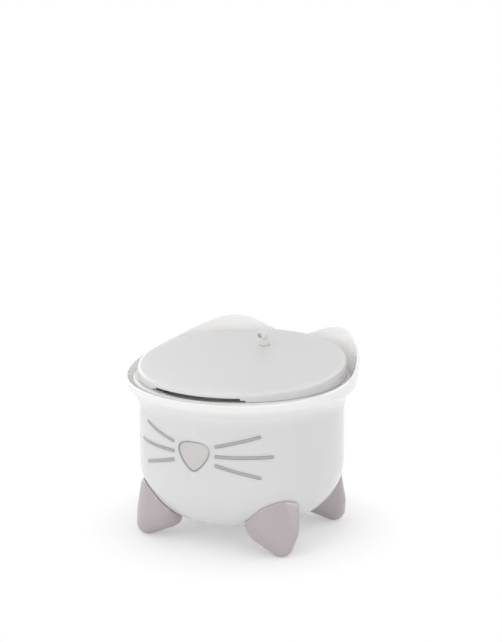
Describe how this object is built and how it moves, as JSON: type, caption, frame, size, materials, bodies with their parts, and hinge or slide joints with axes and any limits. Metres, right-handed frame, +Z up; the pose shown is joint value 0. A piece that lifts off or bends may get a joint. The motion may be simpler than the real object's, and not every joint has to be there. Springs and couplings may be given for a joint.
{
  "type": "pet water fountain",
  "caption": "Round drinking fountain for cats and small dogs: eared bowl on feet, submerged pump, riser tube, filter tray, sloped lid and turning spout.",
  "frame": {"origin": "centre of the bowl's footprint, on the floor under its four feet", "axes": "+Z up, -Y towards the nose at the front, +X to the right as seen by someone facing the nose"},
  "size_m": [0.2801, 0.3027, 0.204],
  "materials": {
    "white_shell": "glossy moulded",
    "white_satin": "satin moulded",
    "lid_white": "glossy moulded",
    "taupe_satin": "satin moulded",
    "nose_smoke": "translucent grey",
    "whisker_grey": "satin",
    "soft_white": "soft satin",
    "seal_grey": "matt",
    "filter_fleece": "thin non-woven",
    "carbon": "granular",
    "resin": "granular",
    "spout_white": "satin",
    "clear_tube": "clear",
    "pump_white": "satin",
    "led_red": "glowing lens",
    "board_green": "coated board",
    "laminations": "laminated",
    "copper": "enamelled wire",
    "shaft": "ground",
    "ferrite": "matt",
    "lead_white": "satin jacket",
    "plug_white": "satin",
    "plug_metal": "plated"
  },
  "bodies": {
    "bowl": {"bowl_shell": "white_shell", "nose_seal": "seal_grey", "nose_window": "nose_smoke", "whisker_left_upper": "whisker_grey", "whisker_left_middle": "whisker_grey", "whisker_left_lower": "whisker_grey", "whisker_right_upper": "whisker_grey", "whisker_right_middle": "whisker_grey", "whisker_right_lower": "whisker_grey", "foot_front_right": "taupe_satin", "foot_front_left": "taupe_satin", "foot_rear_right": "taupe_satin", "foot_rear_left": "taupe_satin", "lead_outer": "lead_white", "lead_coil": "lead_white", "lead_tail": "lead_white", "plug_body": "plug_white", "plug_shell": "plug_metal"},
    "tray": {"tray_deck": "white_satin", "riser_socket": "white_satin", "collar_cap": "soft_white"},
    "pull_ring_body": {"pull_ring": "soft_white"},
    "filter": {"filter_film": "filter_fleece", "filter_carbon_pod_front": "carbon", "filter_carbon_pod_rear": "carbon", "filter_resin_pod_front": "resin", "filter_resin_pod_rear": "resin"},
    "lid": {"lid_plate": "lid_white"},
    "spout": {"spout_sleeve": "spout_white", "spout_seal": "soft_white"},
    "elbow": {"spout_elbow": "spout_white"},
    "riser": {"riser_tube": "clear_tube"},
    "pump": {"pump_housing": "pump_white", "pump_base": "pump_white", "led_lens": "led_red", "led_board": "board_green", "stator_core": "laminations", "stator_winding": "copper", "rotor_shaft": "shaft", "cord_gland": "soft_white", "lead_inner": "lead_white"},
    "cover": {"intake_cover": "pump_white"},
    "rotor": {"rotor_magnet": "ferrite", "impeller": "spout_white"}
  },
  "joints": [
    {"name": "tray_lift", "type": "slide", "parent": "bowl", "child": "tray", "axis": [0, 0, 1], "range_m": [0, 0.1592]},
    {"name": "lid_lift", "type": "slide", "parent": "tray", "child": "lid", "axis": [0, 0, 1], "range_m": [0, 0.075]},
    {"name": "filter_lift", "type": "slide", "parent": "tray", "child": "filter", "axis": [0, 0, 1], "range_m": [0, 0.0585]},
    {"name": "spout_lift", "type": "slide", "parent": "lid", "child": "spout", "axis": [0, 0, 1], "range_m": [0, 0.033]},
    {"name": "spout_swivel", "type": "hinge", "parent": "spout", "child": "elbow", "pos_m": [0, 0.052, 0.19], "axis": [0, 0, 1], "continuous": true},
    {"name": "pull_ring_turn", "type": "hinge", "parent": "tray", "child": "pull_ring_body", "pos_m": [0.0308, 0.052, 0.1788], "axis": [1, 0, 0], "range_deg": [0, 61]},
    {"name": "pump_lift", "type": "slide", "parent": "bowl", "child": "pump", "axis": [0, 0, 1], "range_m": [0, 0.1364], "deforming": ["lead_inner"]},
    {"name": "riser_lift", "type": "slide", "parent": "pump", "child": "riser", "axis": [0, 0, 1], "range_m": [0, 0.0118]},
    {"name": "impeller_spin", "type": "hinge", "parent": "pump", "child": "rotor", "pos_m": [0, 0.052, 0.05], "axis": [0, 0, 1], "continuous": true},
    {"name": "cover_slide", "type": "slide", "parent": "pump", "child": "cover", "axis": [0.682, 0.7314, 0], "range_m": [-0.02, 0]}
  ],
  "couplings": [
    {"joint": "filter_lift", "follows": "lid_lift", "ratio": 0.78},
    {"joint": "pull_ring_turn", "follows": "lid_lift", "rad_per_m": 14.188},
    {"joint": "pump_lift", "follows": "tray_lift", "ratio": 0.8562},
    {"joint": "riser_lift", "follows": "tray_lift", "ratio": 0.0735}
  ]
}
